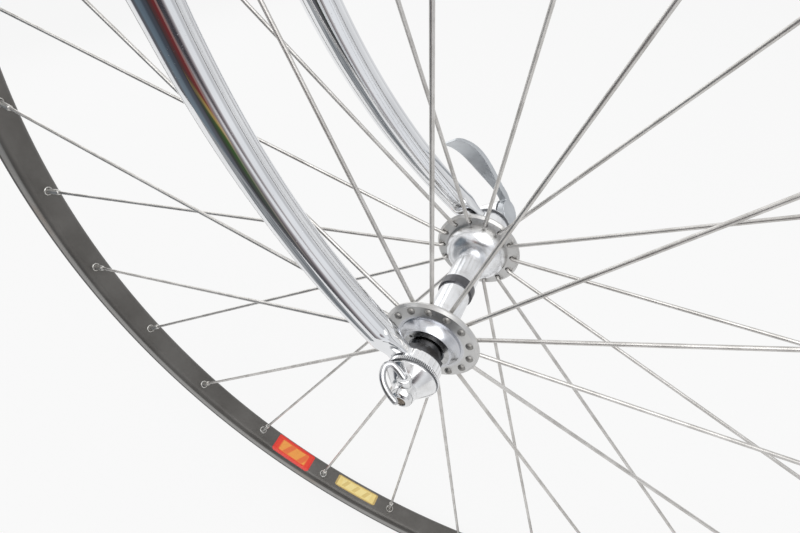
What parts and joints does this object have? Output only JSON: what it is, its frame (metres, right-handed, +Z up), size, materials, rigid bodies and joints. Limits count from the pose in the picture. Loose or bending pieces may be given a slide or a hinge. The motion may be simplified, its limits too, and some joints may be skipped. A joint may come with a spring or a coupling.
{
  "type": "bicycle front fork and wheel",
  "caption": "Chromed steel racing fork with a curved rake, carrying a spoked wheel with a tubular rim, held by a quick-release skewer with a curved lever.",
  "frame": {"origin": "on the steering axis at the top of the crown race", "axes": "+X forward, +Y the rider's left, +Z up with the steering axis at 73 degrees to the ground"},
  "size_m": [0.633, 0.1498, 0.8192],
  "materials": {
    "steerer_steel": "turned bare steel",
    "bearing_steel": "ground steel",
    "fork_chrome": "bright chrome plate",
    "black_steel": "blacked steel",
    "release_chrome": "bright chrome plate",
    "hub_alloy": "polished",
    "cap_steel": "chromed ring",
    "clip_steel": "dull spring steel",
    "spoke_steel": "drawn stainless wire",
    "nipple_brass": "nickel-plated brass",
    "rim_alloy": "dark anodised, brake bands worn lighter",
    "lever_alloy": "satin"
  },
  "bodies": {
    "fork": {"steerer_tube": "steerer_steel", "crown_race": "bearing_steel", "fork_crown": "fork_chrome", "crown_lug_right": "fork_chrome", "crown_lug_left": "fork_chrome", "fork_blade_right": "fork_chrome", "fork_blade_left": "fork_chrome", "fork_end_right": "fork_chrome", "fork_end_left": "fork_chrome", "hub_axle": "bearing_steel", "cone_right": "black_steel", "cone_left": "black_steel", "lock_washer_right": "black_steel", "lock_washer_left": "black_steel", "locknut_right": "black_steel", "locknut_left": "black_steel", "skewer_rod": "bearing_steel", "adjusting_nut": "release_chrome", "nut_wire_loop": "release_chrome", "cam_housing": "release_chrome"},
    "wheel": {"hub_shell": "hub_alloy", "dust_cap_right": "cap_steel", "dust_cap_left": "cap_steel", "oil_clip": "clip_steel", "spokes_right": "spoke_steel", "spokes_left": "spoke_steel", "nipples_right": "nipple_brass", "nipples_left": "nipple_brass", "rim": "rim_alloy"},
    "lever": {"quick_release_lever": "lever_alloy", "cam_cap": "release_chrome"}
  },
  "joints": [
    {"name": "wheel_spin", "type": "hinge", "parent": "fork", "child": "wheel", "pos_m": [0.14923, 0, -0.34128], "axis": [0, 1, 0], "continuous": true},
    {"name": "lever_swing", "type": "hinge", "parent": "fork", "child": "lever", "pos_m": [0.14923, 0.067, -0.34128], "axis": [-0.8829, 0, -0.4695], "range_deg": [0, 180]}
  ]
}
